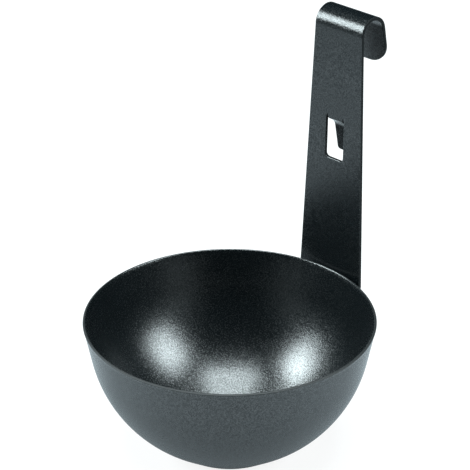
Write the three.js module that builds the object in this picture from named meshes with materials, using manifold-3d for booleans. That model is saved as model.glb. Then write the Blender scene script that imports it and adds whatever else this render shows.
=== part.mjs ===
// Hanging egg poacher cup: a drawn steel bowl with a flared lip, and a strap handle spot-welded outside it.
// Millimetres, +Z up. The origin is the centre of the flat base, and the handle stands on the +Y side.

import * as THREE from 'three';
import { mergeVertices } from 'three/addons/utils/BufferGeometryUtils.js';
import Module from 'manifold-3d';

const wasm = await Module();
wasm.setup();

const { clamp, degToRad, lerp, smoothstep } = THREE.MathUtils;
const rightAngle = Math.PI / 2;

// Bowl: the outside of its round wall, the straight slope below the round, the flat that it stands on,
// the draft above the round, and its height
const bowlRadius = 38.7;
const lowerSlope = degToRad(37);
const baseFlatRadius = 15.5;
const baseFillet = 2;
const wallDraft = degToRad(11);
const cupHeight = 38.95;
const wall = 0.8;

// Lip: the bend that flares the top of the wall outward, the straight sheet after it, and its eased edge
const lipBend = 4;
const lipAngle = degToRad(22);
const lipLength = 0.4;
const lipEdge = 0.25;

// Strap: a flat strip that narrows from the lip to the hook and leans back a little
const strapThickness = 1;
const strapLipWidth = 22.7;
const strapTopWidth = 16.8;
const strapLean = degToRad(0.9);
const handleHeight = 115.19;

// Foot of the strap: set in under the lip by a jog, and pressed to the round of the bowl below it
const footLength = 16;
const footCorner = 4;
const jogBend = 1.5;
const jogDrop = 2;
const pressFade = 6;

// Hook: the bend at the top and the leg that hangs down outside
const hookBend = 3.8;
const hookFlare = degToRad(11);
const hookLegLength = 11.6;
const hookTipCorner = 6.2;

// Slot in the strap
const slotWidth = 6.6;
const slotLength = 12.9;
const slotCorner = 1.2;
const slotHeight = 79.09;

// Tongue that is cut from the slot: its flat root, the shoulder that slopes outward, the hollow where it
// turns down, and the leg
const tongueWidth = 5.4;
const tongueThinning = 0.05;
const tongueHold = 1;
const tongueRoot = 0.5;
const tongueBend = 0.3;
const tongueSlope = degToRad(60);
const tongueShoulder = 1.15;
const tongueHollow = 3;
const tongueFlare = degToRad(12);
const tongueLeg = 7.9;
const tongueTipCorner = 1;

// Spot welds: their size, their spacing, and how far their middle is from the foot's lower end
const weldRadius = 2.4;
const weldPitchAcross = 12;
const weldPitchUp = 7;
const weldRise = 7.6;
const weldProud = 0.15;
const weldEdge = 0.25;

// Clearances: strap to lip, strap and welds to bowl, weld to its hole in the foot
const lipClearance = 0.3;
const seatClearance = 0.3;
const weldClearance = 0.3;

// Fineness of the round surfaces
const turnSegments = 64;
const wallSegments = 10;
const bendSegments = 4;
const edgeSegments = 2;
const hookSegments = 12;
const cornerSegments = 6;
const stripColumns = 8;
const weldSegments = 24;

const coating = new THREE.MeshStandardMaterial({ color: 0x2b2f31, roughness: 0.42, metalness: 0.2 });
const weldedSpot = new THREE.MeshStandardMaterial({ color: 0x26292b, roughness: 0.5, metalness: 0.2 });

// A closed mesh as a solid that can be cut and joined. Triangles that shrink to a line are left out.
function solidOf(geometry) {
  const bare = geometry.index ? geometry.toNonIndexed() : geometry.clone();
  bare.deleteAttribute('normal');
  bare.deleteAttribute('uv');
  const merged = mergeVertices(bare, 1e-4);
  const corners = merged.index.array;
  const triangles = [];
  for (let i = 0; i < corners.length; i += 3) {
    const [a, b, c] = corners.slice(i, i + 3);
    if (a !== b && b !== c && c !== a) triangles.push(a, b, c);
  }
  return new wasm.Manifold(new wasm.Mesh({
    numProp: 3,
    vertProperties: new Float32Array(merged.attributes.position.array),
    triVerts: new Uint32Array(triangles),
  }));
}

// The mesh of a finished solid
function geometryOf(solid) {
  const mesh = solid.getMesh();
  const geometry = new THREE.BufferGeometry();
  geometry.setAttribute('position', new THREE.BufferAttribute(new Float32Array(mesh.vertProperties), 3));
  geometry.setIndex(new THREE.BufferAttribute(new Uint32Array(mesh.triVerts), 1));
  geometry.computeVertexNormals();
  return geometry;
}

// One face of a bent sheet, traced in the handle's middle plane as straight runs and bends.
// A heading is measured from +Z towards +Y, and a bend to the right is positive.
// The sheet lies on the traced line's right where side is 1, and on its left where side is -1.
class SheetPath {
  constructor(y, z, heading, side) {
    Object.assign(this, { y, z, heading, side, length: 0, parts: [] });
  }

  add(length, steps, placeAfter) {
    this.parts.push({ begun: this.length, length, steps, placeAfter });
    this.length += length;
    Object.assign(this, placeAfter(length));
  }

  straight(length) {
    const { y, z, heading } = this;
    this.add(length, 1, (run) => ({
      y: y + run * Math.sin(heading),
      z: z + run * Math.cos(heading),
      heading,
    }));
  }

  bend(angle, radius, steps) {
    const start = { y: this.y, z: this.z, heading: this.heading };
    const hand = Math.sign(angle);
    this.add(Math.abs(angle) * radius, steps, (run) => {
      const heading = start.heading + (hand * run) / radius;
      return {
        y: start.y + hand * radius * (Math.cos(start.heading) - Math.cos(heading)),
        z: start.z + hand * radius * (Math.sin(heading) - Math.sin(start.heading)),
        heading,
      };
    });
  }

  at(run) {
    const part = this.parts.findLast((each) => each.begun <= run);
    return part.placeAfter(run - part.begun);
  }

  headingAt(run) {
    return this.at(run).heading;
  }

  // The place after a run, moved into the sheet by a depth
  place(run, depth) {
    const { y, z, heading } = this.at(run);
    return new THREE.Vector2(
      y + this.side * depth * Math.cos(heading),
      z - this.side * depth * Math.sin(heading),
    );
  }

  // The runs where the sheet bends or ends
  runs() {
    const starts = this.parts.flatMap((part) => (
      Array.from({ length: part.steps }, (_, i) => part.begun + (part.length * i) / part.steps)
    ));
    return [...starts, this.length];
  }
}

// The outside of the bowl's sheet, from the axis to where the lip's edge is eased
function bowlPath() {
  const bendRise = lipBend * (Math.sin(lipAngle) - Math.sin(wallDraft));
  const lipRise = bendRise + lipLength * Math.cos(lipAngle) + wall * Math.sin(lipAngle);
  const path = new SheetPath(0, 0, rightAngle, -1);
  path.straight(baseFlatRadius);
  path.bend(-lowerSlope, baseFillet, bendSegments);
  path.straight((bowlRadius * Math.sin(lowerSlope) - path.y) / Math.cos(lowerSlope));
  path.bend(wallDraft + lowerSlope - rightAngle, bowlRadius, wallSegments);
  path.straight((cupHeight - lipRise - path.z) / Math.cos(wallDraft));
  path.bend(lipAngle - wallDraft, lipBend, bendSegments);
  path.straight(lipLength - lipEdge);
  return path;
}

// The half section of the bowl: up the outside, round the lip's edge and down the inside to the axis
function bowlProfile() {
  const path = bowlPath();
  const edge = new SheetPath(path.y, path.z, path.heading, path.side);
  edge.bend(-rightAngle, lipEdge, edgeSegments);
  edge.straight(wall - 2 * lipEdge);
  edge.bend(-rightAngle, lipEdge, edgeSegments);
  return [
    ...path.runs().map((run) => path.place(run, 0)),
    ...edge.runs().slice(1, -1).map((run) => edge.place(run, 0)),
    ...path.runs().map((run) => path.place(run, wall)).reverse(),
  ];
}

function bowlGeometry() {
  const turned = new THREE.LatheGeometry(bowlProfile(), turnSegments);
  return geometryOf(solidOf(turned.rotateX(rightAngle)));
}

// Places that follow from the sizes
const baseCorner = baseFlatRadius + baseFillet * Math.tan(lowerSlope / 2);
const slopeRise = (bowlRadius * Math.sin(lowerSlope) - baseCorner) * Math.tan(lowerSlope);
const bowlCentre = slopeRise + bowlRadius * Math.cos(lowerSlope);
const lipOutermost = bowlProfile().reduce((most, point) => (point.x > most.x ? point : most));
const footRadius = bowlRadius + seatClearance;
const jogOutside = jogBend + strapThickness;
const hookOutside = hookBend + strapThickness;
const strapUp = new THREE.Vector2(Math.sin(strapLean), Math.cos(strapLean));
const strapOut = new THREE.Vector2(Math.cos(strapLean), -Math.sin(strapLean));
const strapBottom = new THREE.Vector2(lipOutermost.x + lipClearance, lipOutermost.y - jogDrop);

// The inner face of the strap: up the bowl's round and its drafted wall, out past the lip in a jog of two
// bends, up to the hook and over it. Also gives the runs where the straight strap starts and ends.
function strapPath() {
  const draftOut = new THREE.Vector2(Math.cos(wallDraft), -Math.sin(wallDraft));
  const draftUp = new THREE.Vector2(Math.sin(wallDraft), Math.cos(wallDraft));
  const fromWall = strapBottom.clone().sub(new THREE.Vector2(0, bowlCentre));
  const jogBends = jogOutside + jogBend;
  const upperTurn = strapLean - wallDraft;
  const offset = fromWall.dot(draftOut) - footRadius;
  const jogTurn = Math.acos((jogOutside + jogBend * Math.cos(upperTurn) - offset) / jogBends);
  const jogRise = jogBends * Math.sin(jogTurn) - jogBend * Math.sin(upperTurn);
  const flatLength = fromWall.dot(draftUp) - jogRise;
  const roundLength = footLength - flatLength;
  const footSlant = wallDraft + roundLength / footRadius;
  const path = new SheetPath(
    footRadius * Math.cos(footSlant),
    bowlCentre - footRadius * Math.sin(footSlant),
    footSlant,
    1,
  );
  path.bend(wallDraft - footSlant, footRadius, wallSegments);
  path.straight(flatLength);
  path.bend(jogTurn, jogOutside, bendSegments);
  path.bend(upperTurn - jogTurn, jogBend, bendSegments);
  const straightStart = path.length;
  const hookHeight = handleHeight - hookOutside * (1 - Math.sin(strapLean));
  path.straight((hookHeight - strapBottom.y) / strapUp.y);
  const straightEnd = path.length;
  path.bend(Math.PI - hookFlare - strapLean, hookOutside, hookSegments);
  path.straight(hookLegLength);
  return { path, straightStart, straightEnd };
}

// How far the round corner of a strip's end draws its edge in, at a distance from that end
function cornerDraw(corner, distance) {
  const short = Math.max(corner - distance, 0);
  return corner - Math.sqrt(corner ** 2 - short ** 2);
}

// Distances from a strip's end where its round corner needs a section
function cornerSections(corner) {
  return Array.from({ length: cornerSegments + 1 }, (_, i) => (
    corner * (1 - Math.cos((rightAngle * i) / cornerSegments))
  ));
}

// A strip of sheet on a path, with a section at each run. halfWidth gives its half width after a run,
// and press gives where a point of a section lies along Y.
function stripGeometry(path, thickness, runs, halfWidth, press) {
  const positions = [];
  const index = [];
  const face = stripColumns + 1;
  const section = 2 * face;
  for (const run of runs) {
    for (const depth of [0, thickness]) {
      const place = path.place(run, depth);
      for (let j = 0; j <= stripColumns; j += 1) {
        const x = halfWidth(run) * ((2 * j) / stripColumns - 1);
        positions.push(x, press(x, place.x, run), place.y);
      }
    }
  }
  const quad = (a, b, c, d) => index.push(a, b, c, a, c, d);
  const between = (here, next) => {
    const hereBack = here + face;
    const nextBack = next + face;
    for (let j = 0; j < stripColumns; j += 1) {
      quad(here + j, here + j + 1, next + j + 1, next + j);
      quad(hereBack + j, nextBack + j, nextBack + j + 1, hereBack + j + 1);
    }
    quad(here, next, nextBack, hereBack);
    quad(here + stripColumns, hereBack + stripColumns, nextBack + stripColumns, next + stripColumns);
  };
  const last = (runs.length - 1) * section;
  for (let here = 0; here < last; here += section) between(here, here + section);
  for (let j = 0; j < stripColumns; j += 1) {
    quad(j, face + j, face + j + 1, j + 1);
    quad(last + j, last + j + 1, last + face + j + 1, last + face + j);
  }
  if (path.side < 0) index.reverse();
  const geometry = new THREE.BufferGeometry();
  geometry.setAttribute('position', new THREE.Float32BufferAttribute(positions, 3));
  geometry.setIndex(index);
  return geometry;
}

// The plain strap, before its slot is cut: flat above the lip, and pressed to the bowl's round at the foot
function plainStrap() {
  const { path, straightStart, straightEnd } = strapPath();
  const runs = [
    ...cornerSections(footCorner),
    ...path.runs().filter((run) => run > footCorner && run < path.length - hookTipCorner),
    ...cornerSections(hookTipCorner).reverse().map((distance) => path.length - distance),
  ];
  const halfWidth = (run) => {
    const share = clamp((run - straightStart) / (straightEnd - straightStart), 0, 1);
    const plain = lerp(strapLipWidth, strapTopWidth, share) / 2;
    return plain - cornerDraw(footCorner, run) - cornerDraw(hookTipCorner, path.length - run);
  };
  const press = (x, y, run) => {
    const hug = 1 - smoothstep(run, straightStart - pressFade, straightStart);
    return hug > 0 ? lerp(y, Math.sqrt(y ** 2 - x ** 2), hug) : y;
  };
  return solidOf(stripGeometry(path, strapThickness, runs, halfWidth, press));
}

// A place on the straight strap's middle plane: up from its lower end, and out from its inner face
function onStrap(up, out) {
  return strapBottom.clone().addScaledVector(strapUp, up).addScaledVector(strapOut, out);
}

const slotMiddle = (slotHeight - strapBottom.y) / strapUp.y;

// The bar that cuts the slot: a rounded oblong that runs through the strap and past both faces
function slotBar() {
  const right = slotWidth / 2 - slotCorner;
  const top = slotLength / 2 - slotCorner;
  const outline = new THREE.Shape();
  outline.absarc(right, -top, slotCorner, -rightAngle, 0);
  outline.absarc(right, top, slotCorner, 0, rightAngle);
  outline.absarc(-right, top, slotCorner, rightAngle, Math.PI);
  outline.absarc(-right, -top, slotCorner, Math.PI, 3 * rightAngle);
  const bar = new THREE.ExtrudeGeometry(outline, {
    depth: 3 * strapThickness,
    bevelEnabled: false,
    curveSegments: bendSegments,
  });
  const start = onStrap(slotMiddle, 2 * strapThickness);
  const frame = new THREE.Matrix4().makeBasis(
    new THREE.Vector3(1, 0, 0),
    new THREE.Vector3(0, strapUp.x, strapUp.y),
    new THREE.Vector3(0, -strapOut.x, -strapOut.y),
  );
  return solidOf(bar.applyMatrix4(frame.setPosition(0, start.x, start.y)));
}

// The tongue: held in the strap above the slot, down its root, out on the shoulder and down the leg
function tongue() {
  const thickness = strapThickness - 2 * tongueThinning;
  const start = onStrap(slotMiddle + slotLength / 2 + tongueHold, tongueThinning);
  const path = new SheetPath(start.x, start.y, Math.PI + strapLean, -1);
  path.straight(tongueHold + tongueRoot);
  path.bend(-tongueSlope, tongueBend + thickness, bendSegments);
  path.straight(tongueShoulder);
  path.bend(tongueSlope - tongueFlare, tongueHollow, bendSegments);
  path.straight(tongueLeg);
  const runs = [
    ...path.runs().filter((run) => run < path.length - tongueTipCorner),
    ...cornerSections(tongueTipCorner).reverse().map((distance) => path.length - distance),
  ];
  const halfWidth = (run) => tongueWidth / 2 - cornerDraw(tongueTipCorner, path.length - run);
  return solidOf(stripGeometry(path, thickness, runs, halfWidth, (x, y) => y));
}

// The spot welds' names and their places: a run up the foot, and a turn about the bowl's axis
function weldPlaces() {
  const rows = { upper: 1, lower: -1 };
  const columns = { left: -1, right: 1 };
  const { path } = strapPath();
  return Object.keys(rows).flatMap((row) => Object.keys(columns).map((column) => {
    const run = weldRise + (rows[row] * weldPitchUp) / 2;
    const seat = path.place(run, 0);
    const slant = path.headingAt(run);
    const turn = Math.asin((columns[column] * weldPitchAcross) / 2 / seat.x);
    return { name: `spot_weld_${row}_${column}`, seat, slant, turn };
  }));
}

// Moves a geometry that was made about +Y to a weld's place, square to the bowl
function standAtWeld(geometry, { seat, slant, turn }) {
  return geometry.rotateX(-slant).translate(0, seat.x, seat.y).rotateZ(-turn);
}

// The finished strap, with a hole in its foot for each weld
function strapGeometry(welds) {
  let strap = plainStrap().subtract(slotBar()).add(tongue());
  const radius = weldRadius + weldClearance;
  for (const weld of welds) {
    const drill = new THREE.CylinderGeometry(radius, radius, 4 * strapThickness, weldSegments);
    strap = strap.subtract(solidOf(standAtWeld(drill, weld)));
  }
  return geometryOf(strap);
}

// One spot weld: a button through the strap's foot, with its outer rim eased
function weldGeometry(weld) {
  const height = strapThickness + weldProud;
  const profile = [
    new THREE.Vector2(0, 0),
    new THREE.Vector2(weldRadius, 0),
    new THREE.Vector2(weldRadius, height - weldEdge),
    new THREE.Vector2(weldRadius - weldEdge, height),
    new THREE.Vector2(0, height),
  ];
  const button = new THREE.LatheGeometry(profile, weldSegments);
  return geometryOf(solidOf(standAtWeld(button, weld)));
}

function named(name, geometry, material) {
  const mesh = new THREE.Mesh(geometry, material);
  mesh.name = name;
  return mesh;
}

const welds = weldPlaces();
const poacherCup = new THREE.Group();
poacherCup.add(named('cup_bowl', bowlGeometry(), coating));
poacherCup.add(named('handle_strap', strapGeometry(welds), coating));
for (const weld of welds) {
  poacherCup.add(named(weld.name, weldGeometry(weld), weldedSpot));
}

export default poacherCup;
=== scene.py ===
"""A hanging egg poacher cup: a drawn bowl with a flared lip and a welded strap handle, on a pale floor."""

import math

import bmesh
import bpy
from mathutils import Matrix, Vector


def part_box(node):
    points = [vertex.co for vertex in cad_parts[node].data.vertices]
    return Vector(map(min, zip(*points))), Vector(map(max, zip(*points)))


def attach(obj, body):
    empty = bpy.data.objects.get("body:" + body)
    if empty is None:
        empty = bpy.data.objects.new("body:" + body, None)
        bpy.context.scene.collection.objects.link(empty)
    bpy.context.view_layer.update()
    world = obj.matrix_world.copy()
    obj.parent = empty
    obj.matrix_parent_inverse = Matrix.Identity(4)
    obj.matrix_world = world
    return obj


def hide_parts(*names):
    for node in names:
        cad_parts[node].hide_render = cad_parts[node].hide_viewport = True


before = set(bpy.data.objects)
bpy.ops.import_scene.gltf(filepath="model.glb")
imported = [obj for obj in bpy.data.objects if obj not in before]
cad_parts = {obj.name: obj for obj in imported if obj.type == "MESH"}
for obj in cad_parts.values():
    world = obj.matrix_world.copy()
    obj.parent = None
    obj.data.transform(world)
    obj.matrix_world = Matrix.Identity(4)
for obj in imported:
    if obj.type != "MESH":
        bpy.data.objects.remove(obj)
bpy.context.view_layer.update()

bl_info = {
    "name": "Hanging Egg Poacher Cup",
    "version": (1, 0, 0),
    "blender": (4, 5, 0),
    "location": "3D View > Sidebar > Poacher Cup",
    "description": "Models a coated steel egg poacher cup with a hooked strap handle, and a stage for it",
    "category": "Add Mesh",
}

MM = 0.001
RIM_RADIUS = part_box("cup_bowl")[1].y
WELD_NODES = sorted(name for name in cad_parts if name.startswith("spot_weld"))

# Points closer than the first are merged, points closer than the second are taken to be at the same place,
# and widths that differ by less than the third are taken to be the same
DOUBLED = 0.001 * MM
SAME_PLACE = 0.05 * MM
SAME_WIDTH = 0.0001 * MM

# Faces round the bowl
BOWL_SIDES = 192

# Coating: width of its mottle, height of its waves and of its grains, and how strongly it bends light
MOTTLE_WIDTH = 9 * MM
WAVE_HEIGHT = 0.01 * MM
GRAIN_HEIGHT = 0.045 * MM
COATING_IOR = 1.5

# How far the grains spread the coating's roughness and its sheen, and the range of the grain that does so
ROUGHNESS_SPREAD = 0.07
ROUGHNESS_GRAIN = (0.3, 0.7)
SHEEN_SPREAD = 0.5
SHEEN_GRAIN = (0.36, 0.64)

# Heights over which a painted shade dims the sheen on the hook's bend, and the share of the sheen that is
# left there
HOOK_SHADE_START = 110 * MM
HOOK_SHADE_END = 113 * MM
HOOK_SHADE_SHEEN = 0.57

# Floor: its size, its drop below the cup, and the share of plain white in it as it is seen straight
FLOOR_SIZE = 12.0
FLOOR_DROP = 0.2 * MM
FLOOR_WHITE = 0.86

# The floor as the coating mirrors it: distances from the cup where its near part ends, its far part begins,
# it starts to fade into the room and is faded, and the share of its glow that is left then
NEAR_END = 60 * MM
FAR_START = 140 * MM
FADE_START = 230 * MM
FADE_END = 480 * MM
FADED_GLOW = 0.15

# The mirrored floor's front: its direction, the distance over which the glow rises to full, and the share of
# it beside the cup. Behind the cup the glow rises again, between two distances.
FRONT = (0.705, -0.709, 0.0)
FRONT_REACH = 40 * MM
BESIDE_GLOW = 0.7
BEHIND_START = 60 * MM
BEHIND_END = 110 * MM
BEHIND_GLOW = 1.9

# How close the cup has to stand over the mirrored floor to shade it
SHADE_REACH = 32 * MM

# Lamps: the direction from the cup, and the width and height of the face in metres. Then their distance, and
# the point that they face.
LAMPS = {
    "left_lamp": (Vector((-0.610, -0.583, 0.538)), (0.44, 0.45)),
    "right_lamp": (Vector((0.738, 0.396, 0.546)), (0.40, 0.49)),
    "top_lamp": (Vector((0.034, -0.035, 0.999)), (0.70, 0.58)),
}
LAMP_DISTANCE = 0.95
LAMP_TARGET = Vector((0, 0, 20 * MM))

# Camera: its turn round the cup and its rise, the point it looks at, its distance, its lens and its sensor
CAMERA_TURN = math.radians(44.814)
CAMERA_RISE = math.radians(27.417)
CAMERA_TARGET = Vector((1.012, 1.006, 63.919)) * MM
CAMERA_DISTANCE = 500 * MM
CAMERA_LENS = 143.98
SENSOR_WIDTH = 36.0


def linear(hex_colour):
    """Turns an sRGB hex colour into the linear colour that a shader takes."""
    shares = [int(hex_colour[i:i + 2], 16) / 255 for i in (1, 3, 5)]
    return tuple(c / 12.92 if c <= 0.04045 else ((c + 0.055) / 1.055) ** 2.4 for c in shares)


def size(name, description, millimetres):
    """A length that a user can change, given in millimetres and kept in metres."""
    return bpy.props.FloatProperty(
        name=name,
        description=description,
        default=millimetres * MM,
        min=0.0,
        precision=5,
        unit="LENGTH",
    )


def angle(name, description, degrees):
    """An angle that a user can change, given in degrees and kept in radians."""
    return bpy.props.FloatProperty(
        name=name,
        description=description,
        default=math.radians(degrees),
        unit="ROTATION",
    )


def colour(name, description, hex_colour):
    """A colour that a user can change, given as an sRGB hex value."""
    return bpy.props.FloatVectorProperty(
        name=name,
        description=description,
        default=linear(hex_colour),
        min=0.0,
        max=1.0,
        size=3,
        subtype="COLOR",
    )


def factor(name, description, value):
    """A share from 0 to 1 that a user can change."""
    return bpy.props.FloatProperty(
        name=name,
        description=description,
        default=value,
        min=0.0,
        max=1.0,
        subtype="FACTOR",
    )


def brightness(name, description, value):
    """A brightness that a user can change."""
    return bpy.props.FloatProperty(name=name, description=description, default=value, min=0.0)


class BowlSizes(bpy.types.PropertyGroup):
    """Sizes of the drawn bowl and its lip"""

    round_radius: size("Round radius", "Outside radius of the round part of the wall", 38.7)
    lower_slope: angle("Lower slope", "Slope of the straight wall between the base and the round", 37)
    base_radius: size("Base radius", "Radius of the flat that the cup stands on", 15.5)
    base_fillet: size("Base fillet", "Radius between the flat base and the sloping wall", 2.0)
    draft: angle("Wall draft", "Slant of the straight wall under the lip", 11)
    height: size("Cup height", "Height of the lip's upper corner before its edge is eased", 38.95)
    wall: size("Wall", "Thickness of the steel sheet", 0.8)
    lip_bend: size("Lip bend", "Radius under the lip, where the sheet turns outward", 4)
    lip_angle: angle("Lip angle", "How far the lip is turned outward from upright", 22)
    lip_length: size("Lip length", "Straight sheet after the lip's bend", 0.4)
    lip_edge: size("Lip edge", "Radius of the eased edges of the lip", 0.25)


class StrapSizes(bpy.types.PropertyGroup):
    """Sizes of the strap handle, its hook, and the tongue cut from its slot"""

    thickness: size("Thickness", "Thickness of the strip", 1.0)
    lip_width: size("Width at the lip", "Width of the strap where it passes the lip", 22.7)
    top_width: size("Width at the hook", "Width of the strap at the hook", 16.8)
    lean: angle("Lean", "How far the strap leans back from upright", 0.9)
    height: size("Handle height", "Height of the hook's top above the base", 115.19)
    edge: size("Edge", "Radius of the eased edges of the strip", 0.17)
    foot_length: size("Foot length", "Length of the strap's foot below the lip", 16)
    foot_corner: size("Foot corner", "Radius of the foot's lower corners", 4)
    jog_bend: size("Jog bend", "Inner radius of the two bends that pass the lip", 1.5)
    jog_drop: size("Jog drop", "How far below the lip's outermost line the jog ends", 2)
    press_fade: size("Press fade", "Length over which the foot's round fades out to flat", 6)
    gap: size("Gap", "Gap between the strap and the bowl", 0.3)
    hook_bend: size("Hook bend", "Inner radius of the hook", 3.8)
    hook_flare: angle("Hook flare", "How far the hook's leg slants outward", 11)
    hook_leg: size("Hook leg", "Length of the hook's straight leg", 11.6)
    hook_corner: size("Hook corner", "Radius of the corners at the hook's tip", 6.2)
    slot_width: size("Slot width", "Width of the slot", 6.6)
    slot_length: size("Slot length", "Length of the slot", 12.9)
    slot_corner: size("Slot corner", "Radius of the slot's corners", 1.2)
    slot_height: size("Slot height", "Height of the slot's middle above the base", 79.09)
    tongue_width: size("Tongue width", "Width of the tongue", 5.4)
    tongue_root: size("Tongue root", "Length of the tongue before it turns outward", 0.5)
    tongue_bend: size("Tongue bend", "Inner radius of the bend at the tongue's root", 0.3)
    tongue_slope: angle("Tongue slope", "How far the tongue's shoulder turns outward", 60)
    tongue_shoulder: size("Tongue shoulder", "Length of the sloping shoulder", 1.15)
    tongue_hollow: size("Tongue hollow", "Radius inside the bend that turns the tongue down", 3)
    tongue_flare: angle("Tongue flare", "How far the tongue's leg slants outward", 12)
    tongue_leg: size("Tongue leg", "Length of the tongue's leg", 7.9)
    tongue_corner: size("Tongue corner", "Radius of the corners at the tongue's tip", 1)


class WeldSizes(bpy.types.PropertyGroup):
    """Sizes of the spot welds that hold the strap's foot"""

    radius: size("Radius", "Radius of a spot weld", 2.4)
    proud: size("Proud", "How far a spot weld's rim stands out of the foot", 0.15)
    rim: size("Rim", "Width of the raised rim round the dent", 0.55)
    dent: size("Dent", "Depth of the dent that the electrode leaves", 0.12)
    pitch_across: size("Pitch across", "Distance between the two columns of welds", 12)
    pitch_up: size("Pitch up", "Distance between the two rows of welds", 7)
    rise: size("Rise", "Distance of the welds' middle from the foot's lower end", 7.6)
    edge: size("Edge", "Radius of the eased outer rim of a spot weld", 0.12)


class CoatingLook(bpy.types.PropertyGroup):
    """Colours and grain of the non-stick coating"""

    dark: colour("Dark tone", "Darker tone of the coating", "#050809")
    pale: colour("Pale tone", "Paler tone of the coating's slow mottle", "#080c0e")
    weld: colour("Weld tone", "Tone of the coating where it is thin over a weld", "#0c1012")
    gloss: factor("Roughness", "Roughness of the satin finish", 0.243)
    sheen: factor("Sheen", "Strength of the satin finish's reflection", 0.625)
    edge_gloss: factor("Edge roughness", "Roughness of the coat on cut edges", 0.6)
    edge_sheen: factor("Edge sheen", "Strength of the reflection on the strap's cut edges", 0.12)
    rim_sheen: factor("Rim sheen", "Strength of the reflection on the edge of the lip", 0.4)
    grain: size("Grain", "Width of the sprayed coat's grain", 0.38)
    peel: size("Peel", "Width of the slow waves in the coat", 2.6)


class StageLook(bpy.types.PropertyGroup):
    """Floor and lamps"""

    floor: colour("Floor", "Colour of the floor", "#e8e9ea")
    floor_glow: colour("Floor glow", "Colour of the lit floor as the coating mirrors it", "#e4f7ff")
    floor_near: brightness("Floor near", "Brightness of the mirrored floor round the cup", 1.52)
    floor_far: brightness("Floor far", "Brightness of the mirrored floor away from the cup", 1.55)
    surround: colour("Surround", "Colour of the dim room above the floor", "#1c2023")
    lamp_colour: colour("Lamp colour", "Colour of the three lamps", "#edfcff")
    left_lamp: brightness("Left lamp", "Brightness of the face of the left lamp", 31.0)
    right_lamp: brightness("Right lamp", "Brightness of the face of the right lamp", 21.4)
    top_lamp: brightness("Top lamp", "Brightness of the face of the overhead lamp", 16.8)


class SheetLine:
    """One face of a bent sheet, traced in the handle's middle plane as straight runs and bends.

    A heading is measured from +Z towards +Y, and a bend to the right is positive.
    """

    def __init__(self, y, z, heading):
        self.y, self.z, self.heading = y, z, heading
        self.length = 0.0
        self.parts = []

    def add(self, length, steps, place_after):
        """Joins a part to the line's end."""
        self.parts.append((self.length, length, steps, place_after))
        self.length += length
        self.y, self.z, self.heading = place_after(length)

    def straight(self, length, steps=1):
        """Goes on straight."""
        y, z, heading = self.y, self.z, self.heading

        def place_after(run):
            return y + run * math.sin(heading), z + run * math.cos(heading), heading

        self.add(length, steps, place_after)

    def bend(self, turn, radius, steps):
        """Goes on in an arc."""
        y, z, start = self.y, self.z, self.heading
        hand = math.copysign(1, turn)

        def place_after(run):
            heading = start + hand * run / radius
            out = hand * radius * (math.cos(start) - math.cos(heading))
            up = hand * radius * (math.sin(heading) - math.sin(start))
            return y + out, z + up, heading

        self.add(abs(turn) * radius, steps, place_after)

    def at(self, run):
        """The place and heading after a run."""
        begun, _, _, place_after = [part for part in self.parts if part[0] <= run][-1]
        return place_after(run - begun)

    def runs(self):
        """The runs where a row of points is needed."""
        found = [begun + length * i / steps for begun, length, steps, _ in self.parts for i in range(steps)]
        return found + [self.length]


def smooth_share(value, low, high):
    """Goes from 0 at low to 1 at high with a soft start and end."""
    share = min(max((value - low) / (high - low), 0.0), 1.0)
    return share * share * (3 - 2 * share)


def corner_draw(corner, distance):
    """How far the round corner of a strip's end draws its edge in, at a distance from that end."""
    short = max(corner - distance, 0.0)
    return corner - math.sqrt(corner ** 2 - short ** 2)


def start_editing(name):
    """Names the new object and opens its mesh."""
    piece = bpy.context.object
    piece.name = name
    piece.data.name = name
    bpy.ops.object.mode_set(mode="EDIT")
    return piece


def select(kind, test):
    """Selects the vertices, edges or faces of the open mesh that pass a test, and nothing else."""
    bpy.ops.mesh.select_mode(type={"verts": "VERT", "edges": "EDGE", "faces": "FACE"}[kind])
    bpy.ops.mesh.select_all(action="DESELECT")
    data = bpy.context.object.data
    mesh = bmesh.from_edit_mesh(data)
    chosen = [each for each in getattr(mesh, kind) if test(each)]
    for each in chosen:
        each.select_set(True)
    mesh.select_flush_mode()
    bmesh.update_edit_mesh(data)
    return len(chosen)


def middle(element):
    """The middle of an edge or a face."""
    points = [vert.co for vert in element.verts]
    return sum(points, Vector()) / len(points)


def turn_faces(place, direction):
    """Merges doubled points and turns all faces of the open sheet to the side that one place on it faces."""
    bpy.ops.mesh.select_mode(type="VERT")
    bpy.ops.mesh.select_all(action="SELECT")
    bpy.ops.mesh.remove_doubles(threshold=DOUBLED)
    bpy.ops.mesh.normals_make_consistent(inside=False)
    mesh = bmesh.from_edit_mesh(bpy.context.object.data)
    nearest = min(mesh.faces, key=lambda face: (face.calc_center_median() - place).length)
    if nearest.normal.dot(direction) < 0:
        bpy.ops.mesh.flip_normals()


def apply_modifier(kind, **settings):
    """Adds a modifier to the active object with its settings, and applies it."""
    bpy.ops.object.modifier_add(type=kind)
    modifier = bpy.context.object.modifiers[-1]
    for name, value in settings.items():
        setattr(modifier, name, value)
    bpy.ops.object.modifier_apply(modifier=modifier.name)


def smooth_piece():
    """Shades the active object smooth, with normals that follow its large faces."""
    bpy.ops.object.shade_smooth()
    apply_modifier("WEIGHTED_NORMAL", mode="FACE_AREA", weight=50)


def finish_piece(piece, slot, *nodes):
    """Moves a finished piece's origin to the frame's, ties it to its body and hides its CAD nodes. Its slot
    is not used.
    """
    bpy.ops.object.transform_apply(location=True, rotation=True, scale=True)
    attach(piece, "root")
    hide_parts(*nodes)


def add_node(tree, kind, settings=None, inputs=None):
    """Adds a shader node. An input is a value, or the socket that it is linked from."""
    node = tree.nodes.new(kind)
    for name, value in (settings or {}).items():
        setattr(node, name, value)
    for name, value in (inputs or {}).items():
        if isinstance(value, bpy.types.NodeSocket):
            tree.links.new(value, node.inputs[name])
        else:
            node.inputs[name].default_value = value
    return node


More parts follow.
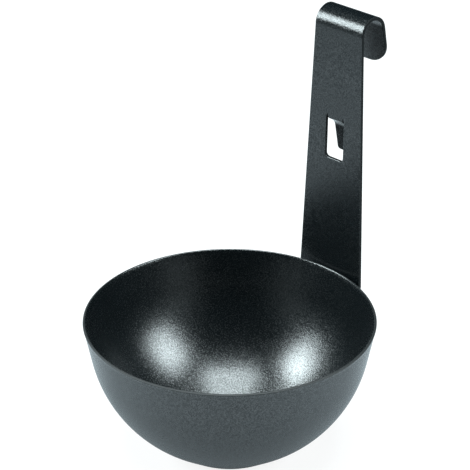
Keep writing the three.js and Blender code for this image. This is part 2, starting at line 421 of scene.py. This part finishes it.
def new_material(name):
    """An empty node material."""
    material = bpy.data.materials.new(name)
    material.use_nodes = True
    material.node_tree.nodes.clear()
    return material


def coating_material(name, pale, look):
    """Sprayed non-stick coating on steel, baked to a satin skin.

    It gives a near-black body with a slow mottle, a clear dielectric sheen that brightens at the edges,
    and a fine sprayed grain that breaks the lamps' reflections into sparkle. A material is made once.
    """
    if name in bpy.data.materials:
        return bpy.data.materials[name]
    material = new_material(name)
    tree = material.node_tree
    place = add_node(tree, "ShaderNodeTexCoord").outputs["Object"]
    mottle = add_node(tree, "ShaderNodeTexNoise", None, {
        "Vector": place, "Scale": 1 / MOTTLE_WIDTH, "Detail": 3.0, "Roughness": 0.6,
    })
    grain = add_node(tree, "ShaderNodeTexNoise", None, {
        "Vector": place, "Scale": 1 / look.grain, "Detail": 2.0, "Roughness": 0.6,
    })
    peel = add_node(tree, "ShaderNodeTexNoise", None, {
        "Vector": place, "Scale": 1 / look.peel, "Detail": 1.0, "Roughness": 0.4,
    })
    tone = add_node(tree, "ShaderNodeMix", {"data_type": "RGBA"}, {
        "Factor": mottle.outputs["Fac"], "A": (*look.dark, 1.0), "B": (*pale, 1.0),
    })
    gloss = add_node(tree, "ShaderNodeMapRange", None, {
        "Value": grain.outputs["Fac"], "From Min": ROUGHNESS_GRAIN[0], "From Max": ROUGHNESS_GRAIN[1],
        "To Min": look.gloss - ROUGHNESS_SPREAD, "To Max": look.gloss + ROUGHNESS_SPREAD,
    })
    # Grains of the coat that face away from a lamp stay dull, those that face it glint
    glint = add_node(tree, "ShaderNodeMapRange", None, {
        "Value": grain.outputs["Fac"], "From Min": SHEEN_GRAIN[0], "From Max": SHEEN_GRAIN[1],
        "To Min": look.sheen * (1 - SHEEN_SPREAD), "To Max": look.sheen * (1 + SHEEN_SPREAD),
    })
    # Painted shade: the sheen is dimmed by height over the hook's tight bend, which tones down the lamps'
    # highlight there
    height = add_node(tree, "ShaderNodeSeparateXYZ", None, {"Vector": place}).outputs["Z"]
    bend = add_node(tree, "ShaderNodeMapRange", None, {
        "Value": height, "From Min": HOOK_SHADE_START, "From Max": HOOK_SHADE_END,
        "To Min": 1.0, "To Max": HOOK_SHADE_SHEEN,
    })
    shine = add_node(tree, "ShaderNodeMath", {"operation": "MULTIPLY"})
    tree.links.new(glint.outputs["Result"], shine.inputs[0])
    tree.links.new(bend.outputs["Result"], shine.inputs[1])
    waves = add_node(tree, "ShaderNodeBump", None, {
        "Strength": 1.0, "Distance": WAVE_HEIGHT, "Height": peel.outputs["Fac"],
    })
    pebbles = add_node(tree, "ShaderNodeBump", None, {
        "Strength": 1.0, "Distance": GRAIN_HEIGHT, "Height": grain.outputs["Fac"],
        "Normal": waves.outputs["Normal"],
    })
    shader = add_node(tree, "ShaderNodeBsdfPrincipled", None, {
        "Base Color": tone.outputs["Result"], "Roughness": gloss.outputs["Result"],
        "Normal": pebbles.outputs["Normal"], "Specular IOR Level": shine.outputs["Value"],
        "IOR": COATING_IOR, "Metallic": 0.0,
    })
    add_node(tree, "ShaderNodeOutputMaterial", None, {"Surface": shader.outputs["BSDF"]})
    return material


def satin_coating(scene):
    """The coating on the faces of the bowl and the strap."""
    look = scene.poacher_coating
    return coating_material("Satin non-stick coating", look.pale, look)


def dull_coating(name, sheen, look):
    """The coating where it draws thin over a cut edge: dull, dark and too narrow for its grain to show."""
    material = new_material(name)
    tree = material.node_tree
    shader = add_node(tree, "ShaderNodeBsdfPrincipled", None, {
        "Base Color": (*look.dark, 1.0), "Roughness": look.edge_gloss,
        "Specular IOR Level": sheen, "IOR": COATING_IOR, "Metallic": 0.0,
    })
    add_node(tree, "ShaderNodeOutputMaterial", None, {"Surface": shader.outputs["BSDF"]})
    return material


def edge_coating(scene):
    """The coating on the cut edges of the strap, which stay near black."""
    look = scene.poacher_coating
    return dull_coating("Dull coating on cut edge", look.edge_sheen, look)


def rim_coating(scene):
    """The coating on the edge of the lip, with enough sheen to draw a grey line round the rim."""
    look = scene.poacher_coating
    return dull_coating("Dull coating on rim", look.rim_sheen, look)


def bowl_line(sizes):
    """The outside of the bowl's sheet, from the edge of the flat base to the end of the lip."""
    bend_rise = sizes.lip_bend * (math.sin(sizes.lip_angle) - math.sin(sizes.draft))
    lip_rise = bend_rise + sizes.lip_length * math.cos(sizes.lip_angle)
    lip_rise += sizes.wall * math.sin(sizes.lip_angle)
    line = SheetLine(sizes.base_radius, 0.0, math.pi / 2)
    line.bend(-sizes.lower_slope, sizes.base_fillet, steps=8)
    slope_end = sizes.round_radius * math.sin(sizes.lower_slope)
    line.straight((slope_end - line.y) / math.cos(sizes.lower_slope), steps=4)
    line.bend(sizes.draft + sizes.lower_slope - math.pi / 2, sizes.round_radius, steps=32)
    line.straight((sizes.height - lip_rise - line.z) / math.cos(sizes.draft), steps=3)
    line.bend(sizes.lip_angle - sizes.draft, sizes.lip_bend, steps=8)
    line.straight(sizes.lip_length)
    return line


def bowl_centre(sizes):
    """Height of the middle of the bowl's round wall."""
    corner = sizes.base_radius + sizes.base_fillet * math.tan(sizes.lower_slope / 2)
    slope_run = sizes.round_radius * math.sin(sizes.lower_slope) - corner
    slope_rise = slope_run * math.tan(sizes.lower_slope)
    return slope_rise + sizes.round_radius * math.cos(sizes.lower_slope)


class POACHER_OT_bowl(bpy.types.Operator):
    """Draws the bowl up from its flat base, flares its lip and gives the sheet its thickness"""

    bl_idname = "poacher.bowl"
    bl_label = "Make Bowl"
    bl_options = {"REGISTER", "UNDO"}

    def execute(self, context):
        sizes = context.scene.poacher_bowl
        line = bowl_line(sizes)
        bpy.ops.object.select_all(action="DESELECT")
        bpy.ops.mesh.primitive_circle_add(
            vertices=BOWL_SIDES, radius=sizes.base_radius, fill_type="TRIFAN", location=(0, 0, 0),
        )
        bowl = start_editing("coated_bowl")
        bowl.data.materials.append(satin_coating(context.scene))
        bowl.data.materials.append(rim_coating(context.scene))
        self.draw_wall(line)
        turn_faces(Vector((0, 0, 0)), Vector((0, 0, -1)))
        bpy.ops.object.mode_set(mode="OBJECT")
        apply_modifier(
            "SOLIDIFY", thickness=sizes.wall, offset=-1.0, use_even_offset=True, material_offset_rim=1,
        )
        self.ease_lip(line, sizes)
        smooth_piece()
        finish_piece(bowl, "coated_steel", "cup_bowl")
        return {"FINISHED"}

    def draw_wall(self, line):
        """Extrudes the open edge ring by ring along the line."""
        select("edges", lambda edge: edge.is_boundary)
        radius, height, _ = line.at(0.0)
        for run in line.runs()[1:]:
            next_radius, next_height, _ = line.at(run)
            share = next_radius / radius
            bpy.ops.mesh.extrude_edges_move(
                TRANSFORM_OT_translate={"value": (0, 0, next_height - height)},
            )
            bpy.ops.transform.resize(value=(share, share, 1), center_override=(0, 0, next_height))
            radius, height = next_radius, next_height

    def ease_lip(self, line, sizes):
        """Rounds the two edges at the end of the lip."""
        radius, height, heading = line.at(line.length)
        ends = [(radius, height)]
        ends.append((radius - sizes.wall * math.cos(heading), height + sizes.wall * math.sin(heading)))

        def on_edge(vert):
            reach = math.hypot(vert.co.x, vert.co.y)
            return any(math.hypot(reach - y, vert.co.z - z) < SAME_PLACE for y, z in ends)

        def along_edge(edge):
            reaches = [math.hypot(vert.co.x, vert.co.y) for vert in edge.verts]
            return all(on_edge(vert) for vert in edge.verts) and abs(reaches[0] - reaches[1]) < SAME_PLACE

        bpy.ops.object.mode_set(mode="EDIT")
        if select("edges", along_edge) != 2 * BOWL_SIDES:
            raise RuntimeError("the lip's edges were not found")
        bpy.ops.mesh.bevel(offset=sizes.lip_edge, segments=5, affect="EDGES")
        bpy.ops.object.mode_set(mode="OBJECT")


def lip_outermost(sizes):
    """Height of the outermost line of the lip."""
    line = bowl_line(sizes)
    _, height, heading = line.at(line.length)
    return height + sizes.lip_edge * (math.sin(heading) - math.cos(heading))


def strap_line(bowl, strap):
    """The inner face of the strap: up the bowl's wall, out past the lip in a jog, up, and over the hook.

    Also gives the runs where the flat strap starts and ends.
    """
    foot_radius = bowl.round_radius + strap.gap
    centre = bowl_centre(bowl)
    jog_outside = strap.jog_bend + strap.thickness
    bends = jog_outside + strap.jog_bend
    start_y = RIM_RADIUS + strap.gap
    start_z = lip_outermost(bowl) - strap.jog_drop
    out = start_y * math.cos(bowl.draft) - (start_z - centre) * math.sin(bowl.draft) - foot_radius
    up = start_y * math.sin(bowl.draft) + (start_z - centre) * math.cos(bowl.draft)
    upper_turn = strap.lean - bowl.draft
    jog_turn = math.acos((jog_outside + strap.jog_bend * math.cos(upper_turn) - out) / bends)
    flat_length = up - bends * math.sin(jog_turn) + strap.jog_bend * math.sin(upper_turn)
    slant = bowl.draft + (strap.foot_length - flat_length) / foot_radius
    line = SheetLine(foot_radius * math.cos(slant), centre - foot_radius * math.sin(slant), slant)
    line.bend(bowl.draft - slant, foot_radius, steps=8)
    line.straight(flat_length)
    line.bend(jog_turn, jog_outside, steps=6)
    line.bend(upper_turn - jog_turn, strap.jog_bend, steps=6)
    flat_start = line.length
    hook_outside = strap.hook_bend + strap.thickness
    hook_start = strap.height - hook_outside * (1 - math.sin(strap.lean))
    line.straight((hook_start - line.z) / math.cos(strap.lean))
    flat_end = line.length
    line.bend(math.pi - strap.hook_flare - strap.lean, hook_outside, steps=28)
    line.straight(strap.hook_leg)
    return line, flat_start, flat_end


class POACHER_OT_strap(bpy.types.Operator):
    """Extrudes the strap from foot to hook, cuts the slot, turns the tongue out and adds thickness"""

    bl_idname = "poacher.strap"
    bl_label = "Make Strap"
    bl_options = {"REGISTER", "UNDO"}

    # Faces across the strap, the turns of the foot's corner that get a row of points, and the strip of metal
    # above and below the slot that is filled anew
    columns = 8
    corner_turns = (0, 28, 50, 70, 90)
    slot_margin = 2.5 * MM

    # How far down the slot's upper corners the tongue's root reaches, and how many edges it takes up
    root_drop = 0.2 * MM
    root_edges = 5

    # Sideways part of the normals of the eased edge faces along the hook that get painted shade
    shaded_edge_turn = (0.2, 0.98)

    def execute(self, context):
        strap = context.scene.poacher_strap
        self.line, self.flat_start, self.flat_end = strap_line(context.scene.poacher_bowl, strap)
        piece = self.lay_strip(strap)
        piece.data.materials.append(satin_coating(context.scene))
        piece.data.materials.append(edge_coating(context.scene))
        self.round_hook_tip(strap)
        self.cut_slot(strap)
        self.draw_tongue(strap)
        self.thicken(strap)
        finish_piece(piece, "coated_steel", "handle_strap")
        return {"FINISHED"}

    def on_flat(self, height):
        """The run and the place on the flat strap's inner face at a height."""
        _, low, heading = self.line.at(self.flat_start)
        run = self.flat_start + (height - low) / math.cos(heading)
        y, z, _ = self.line.at(run)
        return run, Vector((0, y, z))

    def half_width(self, strap, run):
        """Half the strap's width after a run."""
        share = (run - self.flat_start) / (self.flat_end - self.flat_start)
        share = min(max(share, 0.0), 1.0)
        plain = strap.lip_width + (strap.top_width - strap.lip_width) * share
        return plain / 2 - corner_draw(strap.foot_corner, run)

    def press(self, strap, run, half_width, y):
        """How far each column, from the middle out, is pressed in to the bowl's round."""
        hug = 1 - smooth_share(run, self.flat_start - strap.press_fade, self.flat_start)
        across = [half_width * 2 * i / self.columns for i in range(self.columns // 2 + 1)]
        return [hug * (math.sqrt(y * y - x * x) - y) for x in across]

    def lay_strip(self, strap):
        """Extrudes the inner face of the strap row by row."""
        line = self.line
        half_slot = strap.slot_length / 2 + self.slot_margin
        turns = [math.radians(turn) for turn in self.corner_turns]
        corner_runs = [strap.foot_corner * (1 - math.cos(turn)) for turn in turns]
        corner_end = strap.foot_corner * 1.05
        bend_runs = [run for run in line.runs() if run > corner_end]
        window_runs = [self.on_flat(strap.slot_height + side * half_slot)[0] for side in (-1, 1)]
        runs = sorted(corner_runs + bend_runs + window_runs)
        width = self.half_width(strap, 0.0)
        y, z, _ = line.at(0.0)
        bpy.ops.object.select_all(action="DESELECT")
        bpy.ops.mesh.primitive_grid_add(
            x_subdivisions=self.columns, y_subdivisions=1, size=2 * width, location=(0, y + width, z),
        )
        piece = start_editing("coated_strap")
        bpy.ops.object.mode_set(mode="OBJECT")
        bpy.ops.object.transform_apply(location=True)
        bpy.ops.object.mode_set(mode="EDIT")
        select("verts", lambda vert: vert.co.y > y + width)
        bpy.ops.mesh.delete(type="VERT")
        bpy.ops.mesh.select_all(action="SELECT")
        pressed = [0.0] * (self.columns // 2 + 1)
        pressed = self.press_row(pressed, self.press(strap, 0.0, width, y))
        for run in runs[1:]:
            next_y, next_z, _ = line.at(run)
            next_width = self.half_width(strap, run)
            bpy.ops.mesh.extrude_edges_move(
                TRANSFORM_OT_translate={"value": (0, next_y - y, next_z - z)},
            )
            if abs(next_width - width) > SAME_WIDTH:
                bpy.ops.transform.resize(value=(next_width / width, 1, 1), center_override=(0, 0, 0))
            y, z, width = next_y, next_z, next_width
            if any(pressed) or run < self.flat_start:
                pressed = self.press_row(pressed, self.press(strap, run, width, y))
        return piece

    def press_row(self, before, after):
        """Moves the columns of the selected row in or out, so that the row follows the bowl's round."""
        data = bpy.context.object.data
        mesh = bmesh.from_edit_mesh(data)
        row = sorted((vert for vert in mesh.verts if vert.select), key=lambda vert: vert.co.x)
        names = [vert.index for vert in row]
        half = self.columns // 2
        for i in range(1, half + 1):
            pair = {names[half - i], names[half + i]}
            select("verts", lambda vert: vert.index in pair)
            bpy.ops.transform.translate(value=(0, after[i] - before[i], 0))
        select("verts", lambda vert: vert.index in names)
        return after

    def round_hook_tip(self, strap):
        """Makes one plain face of the hook's leg and rounds its two corners."""
        leg_start = self.line.length - strap.hook_leg
        y, z, _ = self.line.at(leg_start)
        tip_y, tip_z, _ = self.line.at(self.line.length)
        tip = Vector((0, tip_y, tip_z))

        def at_tip(vert):
            return (Vector((0, vert.co.y, vert.co.z)) - tip).length < SAME_PLACE

        select("faces", lambda face: middle(face).y > y and middle(face).z < z)
        bpy.ops.mesh.dissolve_faces()
        inner = strap.top_width / 2 - SAME_PLACE
        select("verts", lambda vert: at_tip(vert) and abs(vert.co.x) < inner)
        bpy.ops.mesh.dissolve_verts()
        select("verts", at_tip)
        bpy.ops.mesh.bevel(offset=strap.hook_corner, segments=12, affect="VERTICES")

    def cut_slot(self, strap):
        """Opens a window in the flat strap and fills it again round the slot's rounded outline."""
        half_slot = strap.slot_length / 2 + self.slot_margin
        low = self.on_flat(strap.slot_height - half_slot)[1].z
        high = self.on_flat(strap.slot_height + half_slot)[1].z
        slot_middle = self.on_flat(strap.slot_height)[1]
        reach = strap.slot_width

        def in_window(element):
            place = middle(element)
            near = abs(place.x) < reach and place.y < slot_middle.y + strap.thickness
            return near and low - SAME_PLACE < place.z < high + SAME_PLACE

        # The columns of faces that the slot falls on
        select("faces", lambda face: in_window(face) and abs(middle(face).x) < strap.slot_width * 0.6)
        bpy.ops.mesh.delete(type="FACE")
        bpy.ops.mesh.select_all(action="DESELECT")
        bpy.ops.mesh.primitive_plane_add(
            size=strap.slot_length, location=slot_middle, rotation=(math.pi / 2 - strap.lean, 0, 0),
        )
        share = strap.slot_width / strap.slot_length
        bpy.ops.transform.resize(value=(share, 1, 1), center_override=slot_middle)
        bpy.ops.mesh.select_mode(type="VERT")
        bpy.ops.mesh.bevel(offset=strap.slot_corner, segments=6, affect="VERTICES")
        bpy.ops.mesh.delete(type="ONLY_FACE")
        select("edges", lambda edge: len(edge.link_faces) < 2 and in_window(edge))
        bpy.ops.mesh.fill(use_beauty=True)

    def draw_tongue(self, strap):
        """Extrudes the tongue from the slot's upper edge: down, out on its shoulder and down its leg."""
        top = self.on_flat(strap.slot_height)[1]
        rise = strap.slot_length / 2
        top += Vector((0, math.sin(strap.lean), math.cos(strap.lean))) * rise
        line = SheetLine(top.y, top.z, math.pi + strap.lean)
        line.straight(strap.tongue_root)
        line.bend(-strap.tongue_slope, strap.tongue_bend + strap.thickness, steps=7)
        line.straight(strap.tongue_shoulder)
        line.bend(strap.tongue_slope - strap.tongue_flare, strap.tongue_hollow, steps=8)
        line.straight(strap.tongue_leg)

        def at_root(edge):
            lowest, highest = top.z - self.root_drop, top.z + SAME_PLACE
            high_enough = all(lowest < vert.co.z < highest for vert in edge.verts)
            return len(edge.link_faces) == 1 and high_enough and abs(middle(edge).x) < strap.slot_width / 2

        if select("edges", at_root) != self.root_edges:
            raise RuntimeError("the slot's upper edge was not found")
        root_width = strap.slot_width - strap.slot_corner
        y, z = top.y, top.z
        for run in line.runs()[1:]:
            next_y, next_z, _ = line.at(run)
            bpy.ops.mesh.extrude_edges_move(
                TRANSFORM_OT_translate={"value": (0, next_y - y, next_z - z)},
            )
            if y == top.y and z == top.z:
                share = strap.tongue_width / root_width
                bpy.ops.transform.resize(value=(share, 1, 0), center_override=(0, next_y, next_z))
            y, z = next_y, next_z
        leg_y, leg_z, _ = line.at(line.length - strap.tongue_leg)
        inner = strap.tongue_width / 2 - SAME_PLACE

        def on_leg(face):
            place = middle(face)
            return math.hypot(place.y - (y + leg_y) / 2, place.z - (z + leg_z) / 2) < SAME_PLACE

        def at_tip(vert):
            return math.hypot(vert.co.y - y, vert.co.z - z) < SAME_PLACE

        select("faces", on_leg)
        bpy.ops.mesh.dissolve_faces()
        select("verts", lambda vert: at_tip(vert) and abs(vert.co.x) < inner)
        bpy.ops.mesh.dissolve_verts()
        select("verts", at_tip)
        bpy.ops.mesh.bevel(offset=strap.tongue_corner, segments=6, affect="VERTICES")

    def thicken(self, strap):
        """Turns the faces to the bowl's side, gives the sheet its thickness and eases its cut edges."""
        _, place = self.on_flat(strap.slot_height)
        turn_faces(place, Vector((0, -1, 0)))
        bpy.ops.object.mode_set(mode="OBJECT")
        apply_modifier(
            "SOLIDIFY", thickness=strap.thickness, offset=-1.0, use_even_offset=True, material_offset_rim=1,
        )
        bpy.ops.object.mode_set(mode="EDIT")
        bpy.ops.mesh.select_mode(type="EDGE")
        bpy.ops.mesh.select_all(action="DESELECT")
        bpy.ops.mesh.edges_select_sharp(sharpness=math.radians(70))
        bpy.ops.mesh.bevel(offset=strap.edge, segments=3, affect="EDGES", clamp_overlap=True)
        self.shade_hook_edge()
        bpy.ops.object.mode_set(mode="OBJECT")
        smooth_piece()

    def shade_hook_edge(self):
        """Painted shade: gives the eased edges along the hook, which are turned partly to the side, the dull
        edge coat, so that they stay dark instead of catching a lamp's highlight.
        """
        _, hook_start, _ = self.line.at(self.flat_end)
        least, most = self.shaded_edge_turn
        select("faces", lambda face: middle(face).z > hook_start and least < abs(face.normal.x) < most)
        bpy.context.object.active_material_index = 1
        bpy.ops.object.material_slot_assign()


class POACHER_OT_welds(bpy.types.Operator):
    """Models one spot weld with the dent of its electrode, and sets a copy at each weld of the foot"""

    bl_idname = "poacher.welds"
    bl_label = "Make Spot Welds"
    bl_options = {"REGISTER", "UNDO"}

    def execute(self, context):
        scene = context.scene
        weld = scene.poacher_weld
        look = scene.poacher_coating
        material = coating_material("Non-stick coating over weld", look.weld, look)
        line, _, _ = strap_line(scene.poacher_bowl, scene.poacher_strap)
        first = self.model_weld(weld, scene.poacher_strap.thickness)
        first.data.materials.append(material)
        for node in WELD_NODES:
            bpy.ops.object.select_all(action="DESELECT")
            first.select_set(True)
            context.view_layer.objects.active = first
            bpy.ops.object.duplicate(linked=False)
            piece = context.object
            piece.name = node.replace("spot_weld", "weld")
            piece.data.name = piece.name
            row = 1 if "upper" in node else -1
            side = 1 if "right" in node else -1
            y, z, slant = line.at(weld.rise + row * weld.pitch_up / 2)
            turn = math.asin(side * weld.pitch_across / 2 / y)
            piece.rotation_euler = (-slant, 0, -turn)
            piece.location = (y * math.sin(turn), y * math.cos(turn), z)
            finish_piece(piece, "coated_weld", node)
        bpy.data.objects.remove(first)
        return {"FINISHED"}

    def model_weld(self, weld, thickness):
        """A button about +Y: a round rim that stands proud, and a shallow dent inside it."""
        height = thickness + weld.proud
        bpy.ops.object.select_all(action="DESELECT")
        bpy.ops.mesh.primitive_cylinder_add(
            vertices=64, radius=weld.radius, depth=height, end_fill_type="NGON",
            location=(0, height / 2, 0), rotation=(-math.pi / 2, 0, 0),
        )
        piece = start_editing("weld")
        bpy.ops.object.mode_set(mode="OBJECT")
        bpy.ops.object.transform_apply(location=True, rotation=True)
        bpy.ops.object.mode_set(mode="EDIT")
        select("faces", lambda face: face.normal.y > 0.9)
        bpy.ops.mesh.inset(thickness=weld.rim)
        bpy.ops.mesh.inset(thickness=weld.rim, depth=-weld.dent)
        bpy.ops.mesh.inset(thickness=weld.rim)

        def on_rim(vert):
            reach = math.hypot(vert.co.x, vert.co.z)
            return abs(vert.co.y - height) < SAME_PLACE and abs(reach - weld.radius) < SAME_PLACE

        select("edges", lambda edge: all(on_rim(vert) for vert in edge.verts))
        bpy.ops.mesh.bevel(offset=weld.edge, segments=3, affect="EDGES")
        bpy.ops.object.mode_set(mode="OBJECT")
        smooth_piece()
        return piece


def floor_material(look):
    """Matt white paper.

    Seen straight it is a near-white that still takes a faint shadow. The coating mirrors it as a lit sheet
    that is dimmer beside the cup, darkens where the cup stands close over it, and fades into the room.
    """
    material = new_material("Matt white paper")
    tree = material.node_tree
    path = add_node(tree, "ShaderNodeLightPath")
    paper = add_node(tree, "ShaderNodeBsdfDiffuse", None, {"Color": (*look.floor, 1.0)})
    white = add_node(tree, "ShaderNodeEmission", None, {"Color": (1.0, 1.0, 1.0, 1.0), "Strength": 1.0})
    straight = add_node(tree, "ShaderNodeMixShader", None, {"Fac": FLOOR_WHITE})
    tree.links.new(paper.outputs["BSDF"], straight.inputs[1])
    tree.links.new(white.outputs["Emission"], straight.inputs[2])
    place = add_node(tree, "ShaderNodeTexCoord").outputs["Object"]
    reach = add_node(tree, "ShaderNodeVectorMath", {"operation": "LENGTH"})
    tree.links.new(place, reach.inputs[0])
    lit = add_node(tree, "ShaderNodeMapRange", None, {
        "Value": reach.outputs["Value"], "From Min": NEAR_END, "From Max": FAR_START,
        "To Min": look.floor_near, "To Max": look.floor_far,
    })
    fade = add_node(tree, "ShaderNodeMapRange", None, {
        "Value": reach.outputs["Value"], "From Min": FADE_START, "From Max": FADE_END,
        "To Min": 1.0, "To Max": FADED_GLOW,
    })
    forward = add_node(tree, "ShaderNodeVectorMath", {"operation": "DOT_PRODUCT"})
    tree.links.new(place, forward.inputs[0])
    forward.inputs[1].default_value = FRONT
    front = add_node(tree, "ShaderNodeMapRange", None, {
        "Value": forward.outputs["Value"], "From Min": 0.0, "From Max": FRONT_REACH,
        "To Min": BESIDE_GLOW, "To Max": 1.0,
    })
    behind = add_node(tree, "ShaderNodeMapRange", None, {
        "Value": forward.outputs["Value"], "From Min": -BEHIND_END, "From Max": -BEHIND_START,
        "To Min": BEHIND_GLOW, "To Max": 1.0,
    })
    under = add_node(tree, "ShaderNodeAmbientOcclusion", {"samples": 8}, {"Distance": SHADE_REACH})
    glow = lit.outputs["Result"]
    shares = [each.outputs["Result"] for each in (fade, front, behind)]
    for share in (*shares, under.outputs["AO"]):
        product = add_node(tree, "ShaderNodeMath", {"operation": "MULTIPLY"})
        tree.links.new(glow, product.inputs[0])
        tree.links.new(share, product.inputs[1])
        glow = product.outputs["Value"]
    mirrored = add_node(tree, "ShaderNodeEmission", None, {
        "Color": (*look.floor_glow, 1.0), "Strength": glow,
    })
    seen = add_node(tree, "ShaderNodeMixShader", None, {"Fac": path.outputs["Is Camera Ray"]})
    tree.links.new(paper.outputs["BSDF"], seen.inputs[1])
    tree.links.new(straight.outputs["Shader"], seen.inputs[2])
    surface = add_node(tree, "ShaderNodeMixShader", None, {"Fac": path.outputs["Is Glossy Ray"]})
    tree.links.new(seen.outputs["Shader"], surface.inputs[1])
    tree.links.new(mirrored.outputs["Emission"], surface.inputs[2])
    add_node(tree, "ShaderNodeOutputMaterial", None, {"Surface": surface.outputs["Shader"]})
    return material


class POACHER_OT_stage(bpy.types.Operator):
    """Adds the pale floor, three soft lamps, the dim room and the camera"""

    bl_idname = "poacher.stage"
    bl_label = "Make Stage"
    bl_options = {"REGISTER", "UNDO"}

    def execute(self, context):
        look = context.scene.poacher_stage
        bpy.ops.object.select_all(action="DESELECT")
        bpy.ops.mesh.primitive_plane_add(size=FLOOR_SIZE, location=(0, 0, -FLOOR_DROP))
        floor = context.object
        floor.name = "floor"
        floor.data.materials.append(floor_material(look))
        for name, (direction, face) in LAMPS.items():
            self.add_lamp(name, direction, face, look)
        self.light_room(context.scene, look)
        self.add_camera(context.scene)
        context.scene.view_settings.view_transform = "Standard"
        return {"FINISHED"}

    def add_lamp(self, name, direction, face, look):
        """A soft lamp that faces the cup. Its power follows from the size and brightness of its face."""
        place = LAMP_TARGET + direction.normalized() * LAMP_DISTANCE
        bpy.ops.object.light_add(type="AREA", location=place)
        lamp = bpy.context.object
        lamp.name = name
        lamp.rotation_euler = direction.to_track_quat("Z", "Y").to_euler()
        lamp.data.shape = "RECTANGLE"
        lamp.data.size, lamp.data.size_y = face
        lamp.data.energy = getattr(look, name) * math.pi * face[0] * face[1]
        lamp.data.color = look.lamp_colour
        lamp.visible_camera = False

    def light_room(self, scene, look):
        """A plain dim room round the stage."""
        scene.world = bpy.data.worlds.new("Dim room")
        scene.world.use_nodes = True
        background = scene.world.node_tree.nodes["Background"]
        background.inputs["Color"].default_value = (*look.surround, 1.0)

    def add_camera(self, scene):
        """The camera, from the cup's right front and above."""
        level = math.cos(CAMERA_RISE)
        back = Vector((math.sin(CAMERA_TURN) * level, -math.cos(CAMERA_TURN) * level, math.sin(CAMERA_RISE)))
        bpy.ops.object.camera_add(location=CAMERA_TARGET + back * CAMERA_DISTANCE)
        camera = bpy.context.object
        camera.rotation_euler = (-back).to_track_quat("-Z", "Y").to_euler()
        camera.data.sensor_width = SENSOR_WIDTH
        camera.data.lens = CAMERA_LENS
        camera.data.clip_start = 0.01
        camera.data.clip_end = 100.0
        scene.camera = camera


class POACHER_PT_panel(bpy.types.Panel):
    """Lists the cup's pieces and their sizes"""

    bl_idname = "POACHER_PT_panel"
    bl_label = "Poacher Cup"
    bl_space_type = "VIEW_3D"
    bl_region_type = "UI"
    bl_category = "Poacher Cup"

    def draw(self, context):
        steps = (
            ("poacher.bowl", "poacher_bowl"),
            ("poacher.strap", "poacher_strap"),
            ("poacher.welds", "poacher_weld"),
            ("poacher.stage", "poacher_stage"),
        )
        for step, group in steps:
            box = self.layout.box()
            self.list_values(box, getattr(context.scene, group))
            box.operator(step)
        self.list_values(self.layout.box(), context.scene.poacher_coating)

    def list_values(self, box, group):
        """Lists the values of one group."""
        for name in group.__annotations__:
            box.prop(group, name)


GROUPS = {
    "poacher_bowl": BowlSizes,
    "poacher_strap": StrapSizes,
    "poacher_weld": WeldSizes,
    "poacher_coating": CoatingLook,
    "poacher_stage": StageLook,
}
TOOLS = (POACHER_OT_bowl, POACHER_OT_strap, POACHER_OT_welds, POACHER_OT_stage, POACHER_PT_panel)


def register():
    for name, group in GROUPS.items():
        bpy.utils.register_class(group)
        setattr(bpy.types.Scene, name, bpy.props.PointerProperty(type=group))
    for tool in TOOLS:
        bpy.utils.register_class(tool)


def unregister():
    for tool in reversed(TOOLS):
        bpy.utils.unregister_class(tool)
    for name, group in reversed(GROUPS.items()):
        delattr(bpy.types.Scene, name)
        bpy.utils.unregister_class(group)


def main():
    register()
    bpy.ops.poacher.bowl()
    bpy.ops.poacher.strap()
    bpy.ops.poacher.welds()
    bpy.ops.poacher.stage()


if __name__ == "__main__":
    main()
